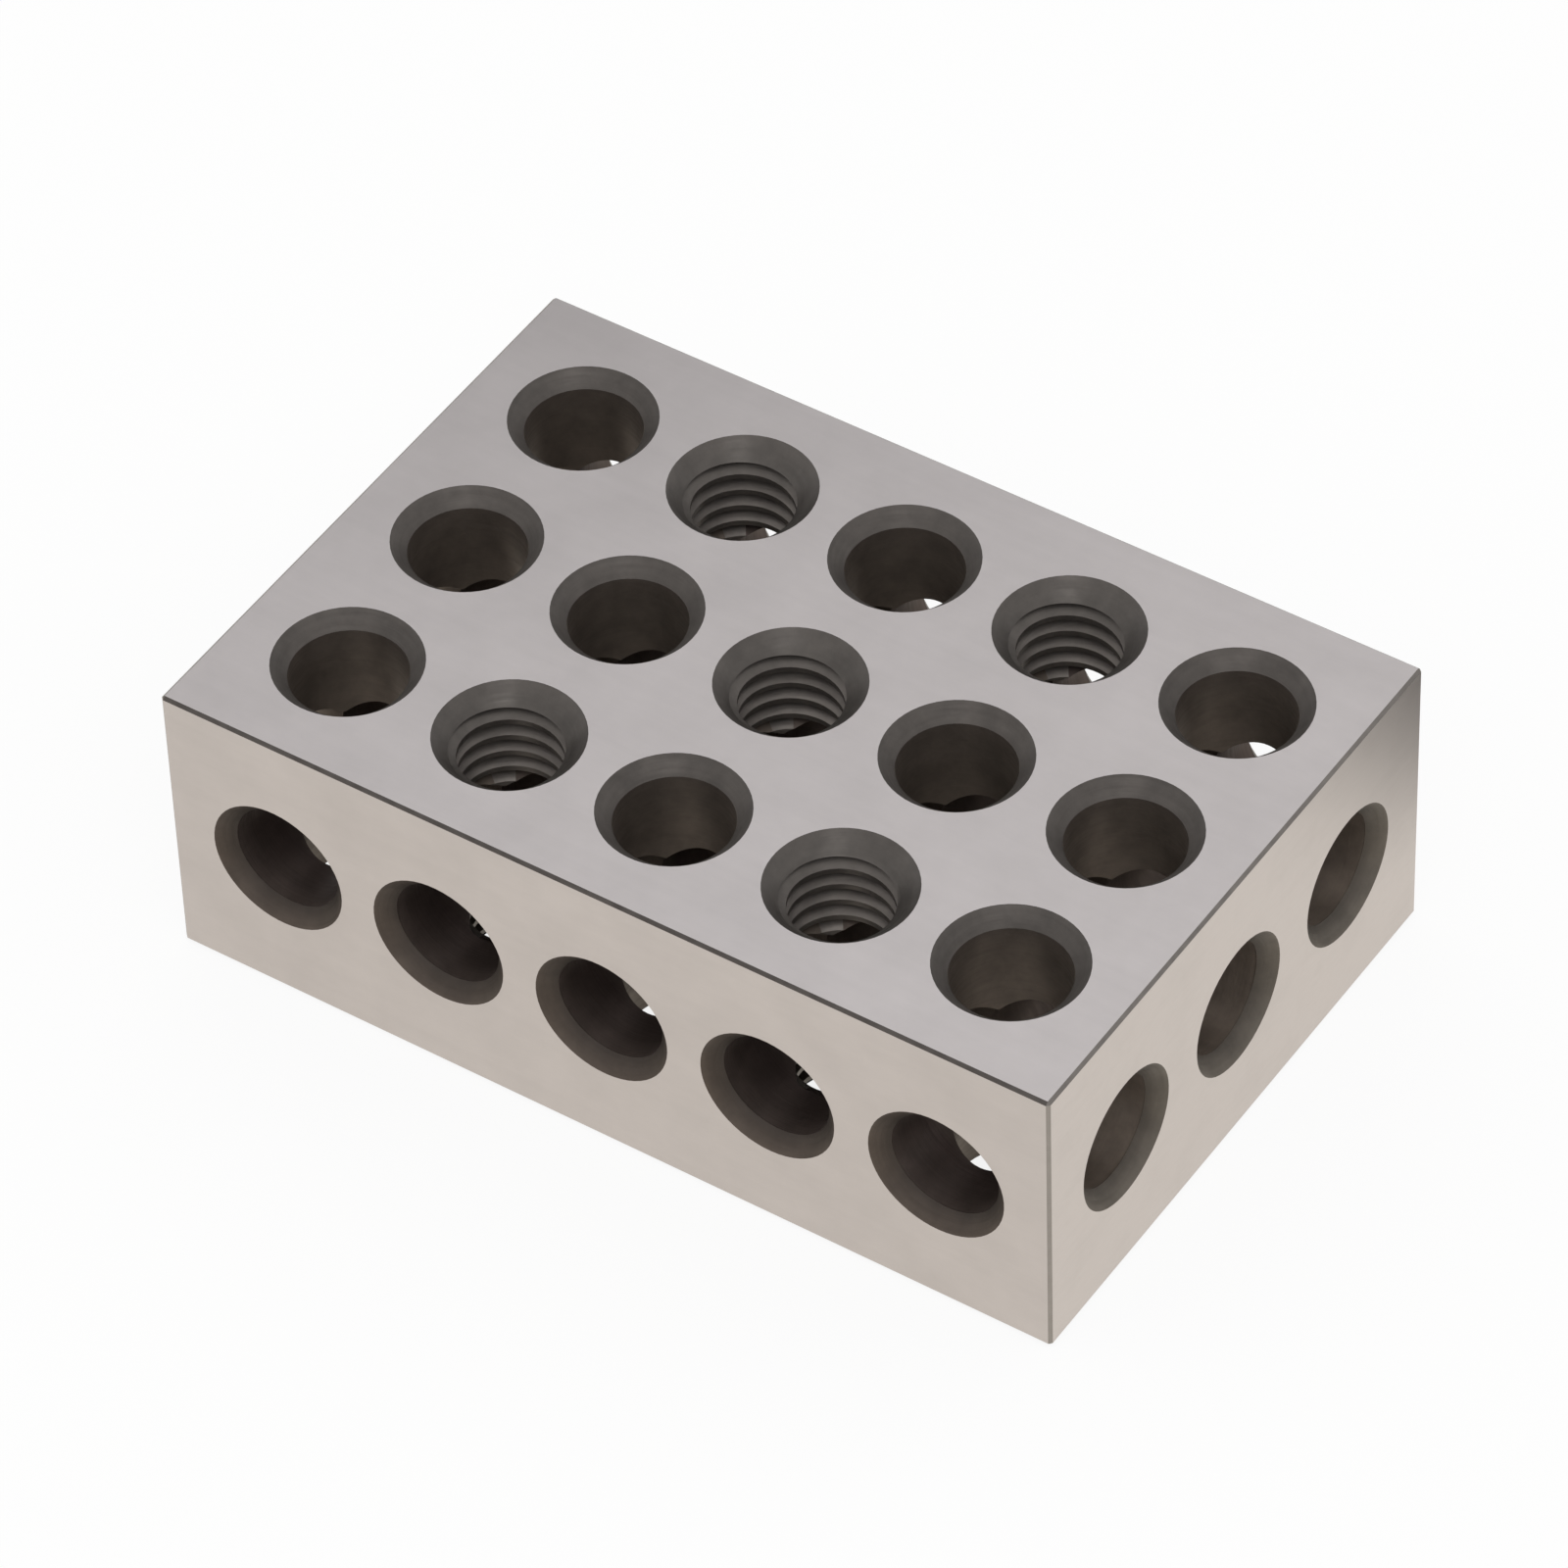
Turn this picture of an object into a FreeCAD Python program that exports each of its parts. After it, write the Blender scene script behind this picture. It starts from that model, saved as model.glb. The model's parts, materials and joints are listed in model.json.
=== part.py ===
"""Machinist setup block: a hardened and ground 1-2-3 block, 1 x 2 x 3 inches, in one piece.

It is a precision parallel that is also drilled like a lattice. Fifteen holes run down through
the thickness on a grid of five columns by three rows, five run through the width under the
columns, and three run through the length under the rows. All three sets cross on the same grid
nodes at mid-thickness, and every mouth is countersunk. Five of the vertical holes, laid out as
on the five-face of a die, are tapped 3/8-16 for clamping bolts and are kept here at the
diameter that the tap is run into. The others are plain clearance holes.

Frame: X along the length, Y along the width, Z up through the thickness, with the origin at
the middle of the bottom face. Millimetres.
"""
import FreeCAD, Part
import os
import Sketcher

BODY_NAME = "setup_block"

# The whole grid: columns stand along X and rows along Y.
COLUMNS = 5
ROWS = 3

# Driving dimensions: alias, value in millimetres (the angle is in degrees), meaning.
DIMENSIONS = [
    ("block_length", 76.2, "3 in, between the ground ends"),
    ("block_width", 50.8, "2 in, between the ground sides"),
    ("block_thickness", 25.4, "1 in, between the ground top and bottom"),
    ("end_margin", 9.525, "3/8 in, from an end to the nearest column of holes"),
    ("side_margin", 10.16, "0.4 in, from a side to the nearest row of holes"),
    ("bore_diameter", 9.0, "plain holes in all three directions"),
    ("thread_diameter", 9.525, "3/8 in, major diameter of the tapped holes"),
    ("thread_pitch", 1.5875, "16 threads to the inch"),
    ("countersink_diameter", 11.43, "0.45 in, rim of every countersunk mouth"),
    ("countersink_angle", 90.0, "included angle of every countersink, in degrees"),
    ("edge_chamfer", 0.25, "chamfer that breaks all twelve edges"),
]


def make_dimension_sheet(document):
    """Put the driving dimensions in a sheet, one alias to a row."""
    sheet = document.addObject("Spreadsheet::Sheet", "dimensions")
    for row, (alias, value, meaning) in enumerate(DIMENSIONS, start=1):
        sheet.set(f"A{row}", meaning)
        sheet.set(f"B{row}", str(value))
        sheet.setAlias(f"B{row}", alias)
    return sheet


def origin_plane(body, role):
    """Return one of the body's own origin planes."""
    return next(item for item in body.Origin.OriginFeatures if item.Role == role)


def column_position(column):
    """Expression for a column's X, worked out from the block's middle."""
    steps = column - (COLUMNS - 1) / 2
    return f"{steps} * (dimensions.block_length - 2 * dimensions.end_margin) / {COLUMNS - 1}"


def row_position(row):
    """Expression for a row's Y, worked out from the block's middle."""
    steps = row - (ROWS - 1) / 2
    return f"{steps} * (dimensions.block_width - 2 * dimensions.side_margin) / {ROWS - 1}"


def is_tapped(column, row):
    """The grid's middle hole and its four diagonal neighbours are tapped."""
    columns_from_middle = abs(column - COLUMNS // 2)
    rows_from_middle = abs(row - ROWS // 2)
    return columns_from_middle == rows_from_middle


def add_sketch(body, name, plane_role, offset):
    """Attach an empty sketch to an origin plane, moved along its normal by an expression."""
    sketch = body.newObject("Sketcher::SketchObject", name)
    sketch.AttachmentSupport = [(origin_plane(body, plane_role), "")]
    sketch.MapMode = "FlatFace"
    sketch.setExpression("AttachmentOffset.Base.z", offset)
    return sketch


def add_block(body):
    """Pad the outer block from its bottom face up, and break its twelve edges."""
    sketch = add_sketch(body, "outline_sketch", "XY_Plane", "0")
    corners = [(-1, -1), (1, -1), (1, 1), (-1, 1)]
    for index, start in enumerate(corners):
        end = corners[(index + 1) % len(corners)]
        sketch.addGeometry(Part.LineSegment(FreeCAD.Vector(*start, 0), FreeCAD.Vector(*end, 0)))
    for index in range(len(corners)):
        following = (index + 1) % len(corners)
        sketch.addConstraint(Sketcher.Constraint("Coincident", index, 2, following, 1))
    for index in (0, 2):
        sketch.addConstraint(Sketcher.Constraint("Horizontal", index))
    for index in (1, 3):
        sketch.addConstraint(Sketcher.Constraint("Vertical", index))
    sketch.addConstraint(Sketcher.Constraint("Symmetric", 0, 1, 2, 1, -1, 1))
    for name, kind, index in (("length", "DistanceX", 0), ("width", "DistanceY", 1)):
        number = sketch.addConstraint(Sketcher.Constraint(kind, index, 1, index, 2, 2.0))
        sketch.renameConstraint(number, name)
        sketch.setExpression(f"Constraints.{name}", f"dimensions.block_{name}")
    pad = body.newObject("PartDesign::Pad", "block_pad")
    pad.Profile = sketch
    pad.setExpression("Length", "dimensions.block_thickness")
    body.Document.recompute()

    chamfer = body.newObject("PartDesign::Chamfer", "edge_break")
    edge_names = [f"Edge{number}" for number in range(1, len(pad.Shape.Edges) + 1)]
    chamfer.Base = (pad, edge_names)
    chamfer.setExpression("Size", "dimensions.edge_chamfer")
    body.Document.recompute()


def add_holes(body, name, plane_role, offset, centres, diameter, mirror_plane):
    """Drill countersunk through holes from one face, then countersink their far mouths.

    The sketch lies on the face that the drill enters, and carries one circle for each pair of
    expressions in centres. The mirrored copy runs down the same bores from the other face.
    """
    sketch = add_sketch(body, f"{name}_sketch", plane_role, offset)
    for index, (across, up) in enumerate(centres):
        start = FreeCAD.Vector(index + 1, index + 1, 0)
        circle = sketch.addGeometry(Part.Circle(start, FreeCAD.Vector(0, 0, 1), 1.0))
        for kind, position in (("DistanceX", across), ("DistanceY", up)):
            number = sketch.addConstraint(Sketcher.Constraint(kind, -1, 1, circle, 3, index + 1.0))
            sketch.setExpression(f"Constraints[{number}]", position)
        number = sketch.addConstraint(Sketcher.Constraint("Diameter", circle, 2.0))
        sketch.setExpression(f"Constraints[{number}]", diameter)
    body.Document.recompute()

    hole = body.newObject("PartDesign::Hole", f"{name}_holes")
    hole.Profile = sketch
    hole.DepthType = "ThroughAll"
    hole.setExpression("Diameter", diameter)
    hole.HoleCutType = "Countersink"
    hole.setExpression("HoleCutDiameter", "dimensions.countersink_diameter")
    hole.setExpression("HoleCutCountersinkAngle", "dimensions.countersink_angle")
    body.Document.recompute()

    mirrored = body.newObject("PartDesign::Mirrored", f"{name}_far_mouths")
    mirrored.Originals = [hole]
    mirrored.MirrorPlane = (mirror_plane, [""])
    body.Tip = mirrored
    body.Document.recompute()


def check(document, body):
    """Stop if any object failed, or if the block isn't one sound solid."""
    for item in document.Objects:
        if "Invalid" in item.State or "Error" in item.State:
            raise RuntimeError(f"{item.Name} failed: {item.State}")
    shape = body.Shape
    if shape.isNull() or not shape.isValid() or len(shape.Solids) != 1:
        raise RuntimeError(f"{body.Label} is not one valid solid")


def main():
    document = FreeCAD.newDocument("machinist_setup_block")
    make_dimension_sheet(document)
    body = document.addObject("PartDesign::Body", BODY_NAME)
    body.Label = BODY_NAME
    body.Placement = FreeCAD.Placement()

    add_block(body)

    middle = body.newObject("PartDesign::Plane", "middle_plane")
    middle.AttachmentSupport = [(origin_plane(body, "XY_Plane"), "")]
    middle.MapMode = "FlatFace"
    middle.setExpression("AttachmentOffset.Base.z", "dimensions.block_thickness / 2")

    grid = [(column, row) for column in range(COLUMNS) for row in range(ROWS)]
    tapped = [(column_position(c), row_position(r)) for c, r in grid if is_tapped(c, r)]
    plain = [(column_position(c), row_position(r)) for c, r in grid if not is_tapped(c, r)]
    half_thickness = "dimensions.block_thickness / 2"
    along_width = [(column_position(column), half_thickness) for column in range(COLUMNS)]
    along_length = [(row_position(row), half_thickness) for row in range(ROWS)]

    bore = "dimensions.bore_diameter"
    tap_drill = "dimensions.thread_diameter - dimensions.thread_pitch"
    add_holes(body, "plain", "XY_Plane", "dimensions.block_thickness", plain, bore, middle)
    add_holes(body, "tapped", "XY_Plane", "dimensions.block_thickness", tapped, tap_drill, middle)
    add_holes(body, "width", "XZ_Plane", "dimensions.block_width / 2", along_width, bore,
              origin_plane(body, "XZ_Plane"))
    add_holes(body, "length", "YZ_Plane", "dimensions.block_length / 2", along_length, bore,
              origin_plane(body, "YZ_Plane"))

    check(document, body)
    os.makedirs("parts", exist_ok=True)
    body.Shape.exportStep(f"parts/{BODY_NAME}.step")
    box = body.Shape.BoundBox
    print(f"{BODY_NAME}: {body.Shape.Volume:.1f} cubic mm, {len(body.Shape.Faces)} faces, "
          f"x {box.XMin:.3f} to {box.XMax:.3f}, y {box.YMin:.3f} to {box.YMax:.3f}, "
          f"z {box.ZMin:.3f} to {box.ZMax:.3f}")


main()
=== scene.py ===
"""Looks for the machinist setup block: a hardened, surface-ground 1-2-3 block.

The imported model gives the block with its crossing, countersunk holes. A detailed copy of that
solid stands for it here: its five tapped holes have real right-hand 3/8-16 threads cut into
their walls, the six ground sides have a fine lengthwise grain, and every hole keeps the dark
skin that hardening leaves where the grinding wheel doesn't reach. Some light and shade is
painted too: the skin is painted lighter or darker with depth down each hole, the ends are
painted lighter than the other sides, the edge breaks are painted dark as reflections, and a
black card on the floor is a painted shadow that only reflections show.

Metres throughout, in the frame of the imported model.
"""
import json
import math

import bmesh
import bpy
from mathutils import Matrix, Vector


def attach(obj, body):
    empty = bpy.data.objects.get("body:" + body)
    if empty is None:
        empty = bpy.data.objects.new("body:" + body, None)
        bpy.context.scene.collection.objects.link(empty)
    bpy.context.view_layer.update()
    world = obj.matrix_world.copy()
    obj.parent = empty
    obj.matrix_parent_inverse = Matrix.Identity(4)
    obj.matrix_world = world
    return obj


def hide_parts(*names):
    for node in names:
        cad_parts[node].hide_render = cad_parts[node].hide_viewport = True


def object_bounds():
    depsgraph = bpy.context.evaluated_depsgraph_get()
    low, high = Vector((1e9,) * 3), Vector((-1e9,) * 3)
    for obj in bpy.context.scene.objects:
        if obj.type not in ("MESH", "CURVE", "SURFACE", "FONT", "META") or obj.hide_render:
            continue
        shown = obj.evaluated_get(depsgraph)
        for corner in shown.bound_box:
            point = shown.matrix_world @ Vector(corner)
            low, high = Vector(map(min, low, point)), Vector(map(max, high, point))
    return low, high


MM = 0.001
NODE = "setup_block"

# 3/8-16 UNC: 16 turns to the inch, cut by a 60 degree tap with a flat an eighth of a pitch wide.
THREAD_MAJOR_RADIUS = 4.7625 * MM
THREAD_PITCH = 1.5875 * MM
THREAD_HALF_ANGLE = math.radians(30)
THREAD_STEPS_PER_TURN = 64
# How far the cutter stands inside the tap-drill wall, so that it cuts the wall clean through.
CUTTER_OVERLAP = 0.25 * MM

# Edges that turn the surface by more than this stay crisp, and rounder ones shade smooth.
SHARP_ANGLE = math.radians(28)
# A corner this near one of the block's six sides belongs to it.
SIDE_TOLERANCE = 0.01 * MM
# A face whose middle is this near two sides at once is the break of the edge between them.
EDGE_REACH = 0.3 * MM
AXES = "xyz"

# The steel's tones, each as its darkest and lightest.
STEEL = (0.520, 0.488, 0.486), (0.580, 0.544, 0.542)
# The breaks of the long edges, of the short edges round the ends, and of the upright corners.
# Their tones are painted reflections: each break is painted dark for the dark surroundings it
# reflects, darkest on the long edges.
EDGE_TONES_PAINTED_AS_REFLECTIONS = {
    "long_edge_painted_reflection": ((0.068, 0.059, 0.054), (0.106, 0.094, 0.087)),
    "end_edge_painted_reflection": ((0.150, 0.136, 0.126), (0.205, 0.188, 0.174)),
    "corner_edge_painted_reflection": ((0.290, 0.268, 0.252), (0.350, 0.325, 0.305)),
}
# The dark skin's tones down each set of holes, with painted light and shade in them: the skin is
# painted lighter or darker with depth for the light that reaches into each hole. Each entry is
# millimetres in from the nearer mouth, and colour.
# The countersink ends 1.2 mm in.
SKIN_TONES_WITH_PAINTED_LIGHT = {
    "x": [(0.0, (0.125, 0.108, 0.090)), (1.2, (0.060, 0.050, 0.041)),
          (1.3, (0.180, 0.145, 0.118)), (8.0, (0.165, 0.134, 0.110))],
    "y": [(0.0, (0.086, 0.066, 0.053)), (1.2, (0.044, 0.034, 0.028)),
          (1.3, (0.112, 0.086, 0.075)), (3.0, (0.074, 0.055, 0.048)),
          (5.5, (0.066, 0.047, 0.042)), (9.0, (0.140, 0.110, 0.093))],
    "z": [(0.0, (0.088, 0.078, 0.071)), (1.2, (0.086, 0.076, 0.069)),
          (1.3, (0.115, 0.094, 0.079)), (4.0, (0.155, 0.128, 0.107)),
          (10.0, (0.215, 0.178, 0.150))],
    "thread": [(0.0, (0.088, 0.078, 0.071)), (1.2, (0.084, 0.075, 0.068)),
               (4.0, (0.140, 0.124, 0.112)), (10.0, (0.250, 0.224, 0.204))],
}
SKIN_REACH = 12.0

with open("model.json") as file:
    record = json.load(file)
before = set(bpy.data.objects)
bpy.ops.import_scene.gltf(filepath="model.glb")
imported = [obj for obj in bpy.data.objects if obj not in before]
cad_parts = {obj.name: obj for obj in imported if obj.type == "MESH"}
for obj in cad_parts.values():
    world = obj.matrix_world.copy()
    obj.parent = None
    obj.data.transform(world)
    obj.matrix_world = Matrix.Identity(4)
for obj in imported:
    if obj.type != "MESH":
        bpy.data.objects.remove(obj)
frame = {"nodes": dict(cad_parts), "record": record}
cad_low, cad_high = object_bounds()
record = frame["record"]


# ------------------------------------------------------------------ the block's own geometry

def thread_cutter(mount):
    """The solid that a tap takes out of one hole: a truncated V wound into a right-hand helix."""
    wall = mount["dims"]["r_mm"] * MM
    inner = wall - CUTTER_OVERLAP
    root_half = THREAD_PITCH / 16
    inner_half = root_half + (THREAD_MAJOR_RADIUS - inner) * math.tan(THREAD_HALF_ANGLE)
    section = [(inner, -inner_half), (THREAD_MAJOR_RADIUS, -root_half),
               (THREAD_MAJOR_RADIUS, root_half), (inner, inner_half)]
    centre = Vector(mount["pos_m"])
    bottom = cad_low.z - 1.5 * THREAD_PITCH
    turns = math.ceil((cad_high.z - cad_low.z) / THREAD_PITCH) + 3

    mesh = bmesh.new()
    rings = []
    for step in range(turns * THREAD_STEPS_PER_TURN + 1):
        turn = step / THREAD_STEPS_PER_TURN
        angle = 2 * math.pi * turn
        height = bottom + THREAD_PITCH * turn
        rings.append([mesh.verts.new((centre.x + radius * math.cos(angle),
                                      centre.y + radius * math.sin(angle),
                                      height + rise)) for radius, rise in section])
    for ring, following in zip(rings, rings[1:]):
        for corner in range(len(section)):
            beside = (corner + 1) % len(section)
            mesh.faces.new((ring[corner], ring[beside], following[beside], following[corner]))
    mesh.faces.new(rings[0])
    mesh.faces.new(rings[-1])
    bmesh.ops.recalc_face_normals(mesh, faces=mesh.faces)
    data = bpy.data.meshes.new("thread_cutter")
    mesh.to_mesh(data)
    mesh.free()
    return bpy.data.objects.new("thread_cutter", data)


def welded_copy(data):
    """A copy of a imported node's faces alone, sharing their corners again."""
    copy = bpy.data.meshes.new("dressed_block")
    corners = [vertex.co for vertex in data.vertices]
    copy.from_pydata(corners, [], [list(face.vertices) for face in data.polygons])
    mesh = bmesh.new()
    mesh.from_mesh(copy)
    bmesh.ops.remove_doubles(mesh, verts=mesh.verts, dist=0.0001 * MM)
    mesh.to_mesh(copy)
    mesh.free()
    return copy


def cut_threads(block, mounts):
    """Cut every tapped hole's thread, and keep the result as the block's own mesh."""
    cutters = [thread_cutter(mount) for mount in mounts]
    for cutter in cutters:
        bpy.context.scene.collection.objects.link(cutter)
        cut = block.modifiers.new("thread", "BOOLEAN")
        cut.operation = "DIFFERENCE"
        cut.solver = "EXACT"
        cut.object = cutter
    evaluated = block.evaluated_get(bpy.context.evaluated_depsgraph_get())
    threaded = bpy.data.meshes.new_from_object(evaluated)
    block.modifiers.clear()
    block.data = threaded
    for cutter in cutters:
        bpy.data.meshes.remove(cutter.data)


def on_a_side(point):
    """Whether a point lies on one of the block's six ground sides."""
    return any(abs(point[axis] - limit[axis]) < SIDE_TOLERANCE
               for axis in range(3) for limit in (cad_low, cad_high))


def distance_to_axis(point, mount):
    """How far a point is from the middle line of a mount's hole."""
    axis = Vector(mount["axis"])
    reach = point - Vector(mount["pos_m"])
    return (reach - axis * reach.dot(axis)).length


def hole_of(point, holes):
    """The hole whose wall a point belongs to: the one it lies least far outside or inside."""
    def distance_to_wall(hole):
        return abs(distance_to_axis(point, hole) - hole["dims"]["r_mm"] * MM)
    return min(holes, key=distance_to_wall)


def sides_near(point):
    """The axes along which a point is within a whisker of one of the block's sides."""
    return [axis for axis in range(3)
            if min(point[axis] - cad_low[axis], cad_high[axis] - point[axis]) < EDGE_REACH]


def finish_of(face, corners, holes):
    """The name of the finish that a face has."""
    steepest = max(abs(part) for part in face.normal)
    if steepest > 0.999 and all(on_a_side(corners[index]) for index in face.vertices):
        return "ground"
    near = sides_near(face.center)
    if len(near) > 1:
        return "long_edge_painted_reflection" if 0 not in near else "end_edge_painted_reflection" if 2 in near else "corner_edge_painted_reflection"
    hole = hole_of(face.center, holes)
    if hole["kind"] == "threaded_hole":
        return "thread"
    return AXES[max(range(3), key=lambda axis: abs(hole["axis"][axis]))]


def paint_faces(block, holes, slots):
    """Give each face its material."""
    corners = [Vector(vertex.co) for vertex in block.data.vertices]
    for face in block.data.polygons:
        face.material_index = slots[finish_of(face, corners, holes)]


# ------------------------------------------------------------------ materials

def new_material(name):
    """An empty node material, its node tree, and its shader."""
    material = bpy.data.materials.new(name)
    material.use_nodes = True
    tree = material.node_tree
    return material, tree, tree.nodes["Principled BSDF"]


def noise(tree, vector, scale, detail, roughness):
    """A noise texture's value over a stretched set of object coordinates."""
    texture = tree.nodes.new("ShaderNodeTexNoise")
    texture.inputs["Scale"].default_value = scale
    texture.inputs["Detail"].default_value = detail
    texture.inputs["Roughness"].default_value = roughness
    tree.links.new(vector, texture.inputs["Vector"])
    return texture.outputs["Fac"]


def stretched(tree, factors):
    """Object coordinates in millimetres, each axis multiplied by its factor."""
    coordinates = tree.nodes.new("ShaderNodeTexCoord")
    mapping = tree.nodes.new("ShaderNodeMapping")
    mapping.inputs["Scale"].default_value = [factor / MM for factor in factors]
    tree.links.new(coordinates.outputs["Object"], mapping.inputs["Vector"])
    return mapping.outputs["Vector"]


def spread(tree, value, low, high):
    """Spread a noise's middle range from low to high."""
    node = tree.nodes.new("ShaderNodeMapRange")
    node.inputs["From Min"].default_value = 0.3
    node.inputs["From Max"].default_value = 0.7
    node.inputs["To Min"].default_value = low
    node.inputs["To Max"].default_value = high
    tree.links.new(value, node.inputs["Value"])
    return node.outputs["Result"]


def two_tone(tree, factor, dark, light):
    """A colour between two tones, by a factor."""
    node = tree.nodes.new("ShaderNodeMix")
    node.data_type = "RGBA"
    node.inputs["A"].default_value = (*dark, 1)
    node.inputs["B"].default_value = (*light, 1)
    tree.links.new(factor, node.inputs["Factor"])
    return node.outputs["Result"]


def add_bump(tree, shader, height, distance):
    """Stand a height pattern proud of the surface by a distance in metres."""
    bump = tree.nodes.new("ShaderNodeBump")
    bump.inputs["Distance"].default_value = distance
    bump.inputs["Strength"].default_value = 1.0
    tree.links.new(height, bump.inputs["Height"])
    tree.links.new(bump.outputs["Normal"], shader.inputs["Normal"])


def end_share(tree):
    """One on the two ends, which face along X, and nothing on the other sides."""
    geometry = tree.nodes.new("ShaderNodeNewGeometry")
    split = tree.nodes.new("ShaderNodeSeparateXYZ")
    size = tree.nodes.new("ShaderNodeMath")
    size.operation = "ABSOLUTE"
    tree.links.new(geometry.outputs["True Normal"], split.inputs["Vector"])
    tree.links.new(split.outputs["X"], size.inputs[0])
    return size.outputs["Value"]


def grain(tree, ends, stretch, scale, detail, roughness=0.5):
    """Wheel marks that run along the length, and along the width on the ends."""
    choice = tree.nodes.new("ShaderNodeMix")
    tree.links.new(ends, choice.inputs["Factor"])
    for name, factors in (("A", (stretch, 1, 1)), ("B", (1, stretch, 1))):
        marks = noise(tree, stretched(tree, factors), scale, detail, roughness)
        tree.links.new(marks, choice.inputs[name])
    return choice.outputs["Result"]


def scaled_sum(tree, value, factor, addend):
    """One value times a plain factor, plus another value."""
    node = tree.nodes.new("ShaderNodeMath")
    node.operation = "MULTIPLY_ADD"
    node.inputs[1].default_value = factor
    tree.links.new(value, node.inputs[0])
    tree.links.new(addend, node.inputs[2])
    return node.outputs["Value"]


def ground_steel():
    """Surface-ground hardened steel: a satin of fine parallel wheel marks, faintly clouded, with
    the ends painted lighter than the other sides as painted light.
    """
    material, tree, shader = new_material("ground_steel")
    ends = end_share(tree)
    fine = grain(tree, ends, 0.12, 7, 4, 0.65)
    bands = grain(tree, ends, 0.03, 1.1, 2)
    clouds = noise(tree, stretched(tree, (1, 1, 1)), 0.16, 5, 0.6)
    tone = scaled_sum(tree, spread(tree, bands, 0, 0.3), 0.7, spread(tree, clouds, 0, 0.7))
    # Painted light: the ends are painted lighter than the other sides, for the brighter
    # reflection they show.
    ends_painted_brighter = scaled_sum(tree, ends, 0.5, tone)
    tree.links.new(two_tone(tree, ends_painted_brighter, *STEEL), shader.inputs["Base Color"])
    tree.links.new(spread(tree, fine, 0.29, 0.38), shader.inputs["Roughness"])
    shader.inputs["Metallic"].default_value = 1.0
    add_bump(tree, shader, fine, 0.002 * MM)
    return material


def edge_steel_with_painted_reflection(name, dark, light):
    """The narrow break of an edge, duller than the ground sides, and darker by a painted dark
    reflection.
    """
    material, tree, shader = new_material(name)
    clouds = noise(tree, stretched(tree, (1, 1, 1)), 0.8, 3, 0.6)
    tree.links.new(two_tone(tree, spread(tree, clouds, 0, 1), dark, light),
                   shader.inputs["Base Color"])
    tree.links.new(spread(tree, clouds, 0.40, 0.55), shader.inputs["Roughness"])
    shader.inputs["Metallic"].default_value = 0.8
    return material


def depth_in_hole(tree, along):
    """How far in a point lies from the nearer mouth of a hole, as a share of the skin's reach."""
    index = AXES.index(along)
    middle = (cad_low[index] + cad_high[index]) / 2
    coordinates = tree.nodes.new("ShaderNodeTexCoord")
    split = tree.nodes.new("ShaderNodeSeparateXYZ")
    tree.links.new(coordinates.outputs["Object"], split.inputs["Vector"])
    off_middle = tree.nodes.new("ShaderNodeMath")
    off_middle.operation = "SUBTRACT"
    off_middle.inputs[1].default_value = middle
    tree.links.new(split.outputs[along.upper()], off_middle.inputs[0])
    distance = tree.nodes.new("ShaderNodeMath")
    distance.operation = "ABSOLUTE"
    tree.links.new(off_middle.outputs["Value"], distance.inputs[0])
    depth = tree.nodes.new("ShaderNodeMath")
    depth.operation = "MULTIPLY_ADD"
    depth.inputs[1].default_value = -1 / (SKIN_REACH * MM)
    depth.inputs[2].default_value = (cad_high[index] - middle) / (SKIN_REACH * MM)
    tree.links.new(distance.outputs["Value"], depth.inputs[0])
    return depth.outputs["Value"]


def skin_tone_with_painted_light_by_depth(tree, along, tones):
    """The colour of the skin down a hole, painted lighter or darker by depth as painted light and
    shade, from its list of depths and colours.
    """
    ramp = tree.nodes.new("ShaderNodeValToRGB")
    stops = ramp.color_ramp.elements
    stops.remove(stops[1])
    stops[0].color = (*tones[0][1], 1)
    for depth, colour in tones[1:]:
        stops.new(depth / SKIN_REACH).color = (*colour, 1)
    tree.links.new(depth_in_hole(tree, along), ramp.inputs["Fac"])
    return ramp.outputs["Color"]


def hole_skin_with_painted_light(name, along, tones, roughness=(0.42, 0.60)):
    """The brown-black skin of a drilled hole, clouded, with faint tool rings round its axis, and
    painted light and shade down its depth.
    """
    material, tree, shader = new_material(name)
    factors = [1.0 if axis == along else 0.04 for axis in AXES]
    rings = noise(tree, stretched(tree, factors), 3.5, 3, 0.6)
    clouds = noise(tree, stretched(tree, (1, 1, 1)), 0.5, 4, 0.6)
    clouded = tree.nodes.new("ShaderNodeMix")
    clouded.data_type = "RGBA"
    clouded.blend_type = "MULTIPLY"
    clouded.inputs["Factor"].default_value = 1.0
    tree.links.new(skin_tone_with_painted_light_by_depth(tree, along, tones), clouded.inputs["A"])
    tree.links.new(spread(tree, clouds, 0.84, 1.16), clouded.inputs["B"])
    tree.links.new(clouded.outputs["Result"], shader.inputs["Base Color"])
    tree.links.new(spread(tree, rings, *roughness), shader.inputs["Roughness"])
    shader.inputs["Metallic"].default_value = 0.6
    add_bump(tree, shader, rings, 0.02 * MM)
    return material


# ------------------------------------------------------------------ the dressed block

holes = [mount for mount in record["mounts"] if mount["kind"] in ("bore", "threaded_hole")]
tapped = [mount for mount in holes if mount["kind"] == "threaded_hole"]

block = bpy.data.objects.new("dressed_block", welded_copy(frame["nodes"][NODE].data))
bpy.context.scene.collection.objects.link(block)
cut_threads(block, tapped)

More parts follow.
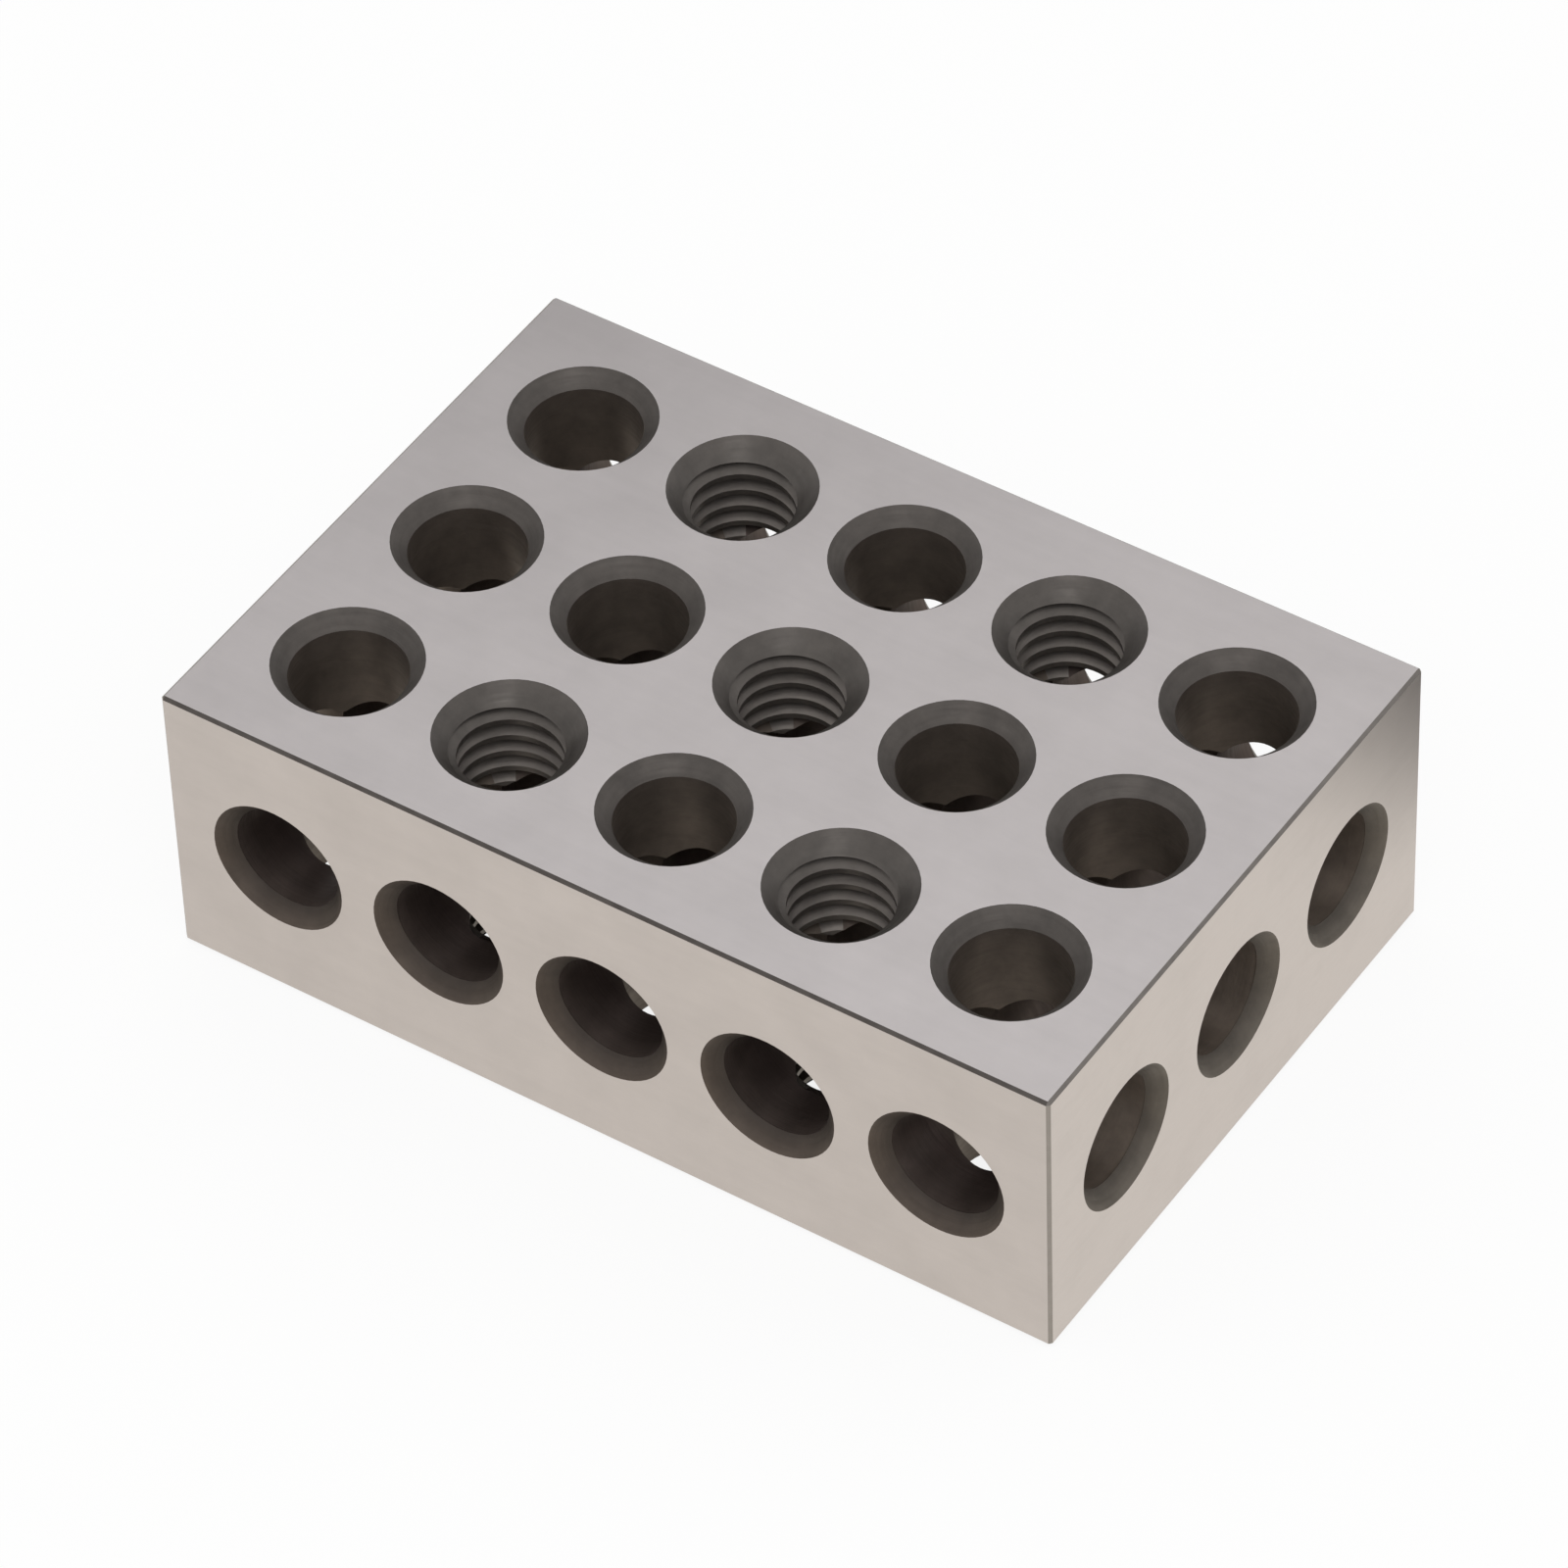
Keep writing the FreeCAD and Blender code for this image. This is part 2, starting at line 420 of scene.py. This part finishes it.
finishes = {
    "ground": ground_steel(),
    "thread": hole_skin_with_painted_light("thread_skin_with_painted_light", "z", SKIN_TONES_WITH_PAINTED_LIGHT["thread"], (0.32, 0.48)),
}
for name, tones in EDGE_TONES_PAINTED_AS_REFLECTIONS.items():
    finishes[name] = edge_steel_with_painted_reflection(name, *tones)
for along in AXES:
    finishes[along] = hole_skin_with_painted_light("hole_skin_with_painted_light_" + along, along, SKIN_TONES_WITH_PAINTED_LIGHT[along])
block.data.materials.clear()
for finish in finishes.values():
    block.data.materials.append(finish)
paint_faces(block, holes, {name: index for index, name in enumerate(finishes)})
block.data.set_sharp_from_angle(angle=SHARP_ANGLE)
for face in block.data.polygons:
    face.use_smooth = True

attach(block, "root")
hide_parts(NODE)


# ------------------------------------------------------------------ studio

# The share of white that the floor adds where the background is seen. The rest keeps the shadow.
FLOOR_GLOW = 0.88
# The camera sees that white plain, and reflections see it faintly warm.
FLOOR_IN_REFLECTIONS = (0.995, 0.945, 0.853)
WORLD_LIGHT = 0.9
# One card darkens the far corner of the top. The other lies on the floor behind the end as a
# painted shadow, and darkens the far upper corner of the end.
HIGH_CARD = [(-0.34, 0.073, 0.235), (0.06, 0.465, 0.235),
             (-0.15, 0.679, 0.235), (-0.55, 0.287, 0.235)]
LOW_SHADOW_CARD = [(0.043, 0.022, 0.0004), (0.066, 0.022, 0.0004),
            (0.066, 0.058, 0.0004), (0.043, 0.058, 0.0004)]
LOW_CARD_FADE = 0.024, 0.053


def background_rays(tree):
    """One for the rays that see the background: the camera's, reflected and transmitted ones."""
    path = tree.nodes.new("ShaderNodeLightPath")
    seen = path.outputs["Is Camera Ray"]
    for name in ("Is Glossy Ray", "Is Transmission Ray"):
        larger = tree.nodes.new("ShaderNodeMath")
        larger.operation = "MAXIMUM"
        tree.links.new(seen, larger.inputs[0])
        tree.links.new(path.outputs[name], larger.inputs[1])
        seen = larger.outputs["Value"]
    return seen, path.outputs["Is Camera Ray"]


def add_sheet(name, corners):
    """A flat piece of the studio, with an empty material of its own."""
    data = bpy.data.meshes.new(name)
    data.from_pydata(corners, [], [tuple(range(len(corners)))])
    sheet = bpy.data.objects.new(name, data)
    bpy.context.scene.collection.objects.link(sheet)
    material, tree, shader = new_material(name)
    data.materials.append(material)
    return sheet, tree, shader


def add_floor():
    """A wide white floor that keeps the block's shadow."""
    reach = 3.0
    floor, tree, shader = add_sheet("floor", [(-reach, -reach, 0), (reach, -reach, 0),
                                              (reach, reach, 0), (-reach, reach, 0)])
    shader.inputs["Base Color"].default_value = (0.97, 0.97, 0.96, 1)
    shader.inputs["Roughness"].default_value = 0.9
    seen, by_camera = background_rays(tree)
    share = tree.nodes.new("ShaderNodeMath")
    share.operation = "MULTIPLY"
    share.inputs[1].default_value = FLOOR_GLOW
    tree.links.new(seen, share.inputs[0])
    glow = tree.nodes.new("ShaderNodeEmission")
    white = two_tone(tree, by_camera, FLOOR_IN_REFLECTIONS, (1, 1, 1))
    tree.links.new(white, glow.inputs["Color"])
    mix = tree.nodes.new("ShaderNodeMixShader")
    tree.links.new(share.outputs["Value"], mix.inputs["Fac"])
    tree.links.new(shader.outputs["BSDF"], mix.inputs[1])
    tree.links.new(glow.outputs["Emission"], mix.inputs[2])
    tree.links.new(mix.outputs["Shader"], tree.nodes["Material Output"].inputs["Surface"])


def add_card(name, corners, soft=None):
    """A black card that only reflections show. soft is where it fades in, from and to a Y."""
    card, tree, shader = add_sheet(name, corners)
    shader.inputs["Base Color"].default_value = (0.02, 0.02, 0.02, 1)
    shader.inputs["Roughness"].default_value = 1.0
    shader.inputs["Specular IOR Level"].default_value = 0.0
    if soft:
        coordinates = tree.nodes.new("ShaderNodeTexCoord")
        split = tree.nodes.new("ShaderNodeSeparateXYZ")
        fade = tree.nodes.new("ShaderNodeMapRange")
        fade.interpolation_type = "SMOOTHSTEP"
        fade.inputs["From Min"].default_value, fade.inputs["From Max"].default_value = soft
        tree.links.new(coordinates.outputs["Object"], split.inputs["Vector"])
        tree.links.new(split.outputs["Y"], fade.inputs["Value"])
        tree.links.new(fade.outputs["Result"], shader.inputs["Alpha"])
    card.visible_camera = False
    card.visible_diffuse = False
    card.visible_transmission = False
    card.visible_shadow = False


def light_world():
    """White wherever the background is seen, and plain soft light elsewhere."""
    world = bpy.data.worlds.new("studio")
    bpy.context.scene.world = world
    world.use_nodes = True
    tree = world.node_tree
    light = tree.nodes["Background"]
    light.inputs["Color"].default_value = (1, 1, 1, 1)
    light.inputs["Strength"].default_value = WORLD_LIGHT
    white = tree.nodes.new("ShaderNodeBackground")
    white.inputs["Color"].default_value = (1, 1, 1, 1)
    white.inputs["Strength"].default_value = 1.0
    mix = tree.nodes.new("ShaderNodeMixShader")
    tree.links.new(background_rays(tree)[0], mix.inputs["Fac"])
    tree.links.new(light.outputs["Background"], mix.inputs[1])
    tree.links.new(white.outputs["Background"], mix.inputs[2])
    tree.links.new(mix.outputs["Shader"], tree.nodes["World Output"].inputs["Surface"])


def add_softbox(name, place, aim, size, power):
    """A square soft light that points at a place."""
    lamp = bpy.data.lights.new(name, "AREA")
    lamp.size = size
    lamp.energy = power
    holder = bpy.data.objects.new(name, lamp)
    holder.location = place
    holder.rotation_euler = (Vector(aim) - Vector(place)).to_track_quat("-Z", "Y").to_euler()
    bpy.context.scene.collection.objects.link(holder)


def add_camera():
    """A long lens that looks down on the front right corner of the block."""
    azimuth, elevation, roll = (math.radians(angle) for angle in (34.9, 45.26, -2.16))
    distance = 683.2 * MM
    target = Vector((-1.9, 1.38, 12.7)) * MM
    back = Vector((math.sin(azimuth) * math.cos(elevation),
                   -math.cos(azimuth) * math.cos(elevation), math.sin(elevation)))
    lens = bpy.data.cameras.new("camera")
    lens.sensor_width = 36
    lens.lens = 213.1
    camera = bpy.data.objects.new("camera", lens)
    level = back.to_track_quat("Z", "Y").to_matrix()
    turned = level @ Matrix.Rotation(roll, 3, "Z")
    camera.matrix_world = Matrix.Translation(target + back * distance) @ turned.to_4x4()
    bpy.context.scene.collection.objects.link(camera)
    bpy.context.scene.camera = camera


add_floor()
light_world()
add_card("high_card", HIGH_CARD)
# The low card is a painted shadow on the floor, which only reflections show.
add_card("low_shadow_card", LOW_SHADOW_CARD, LOW_CARD_FADE)
add_softbox("key", (0.30, -0.35, 0.55), (0, 0, 0.02), 0.3, 0.4)
add_camera()
bpy.context.scene.view_settings.view_transform = "Standard"
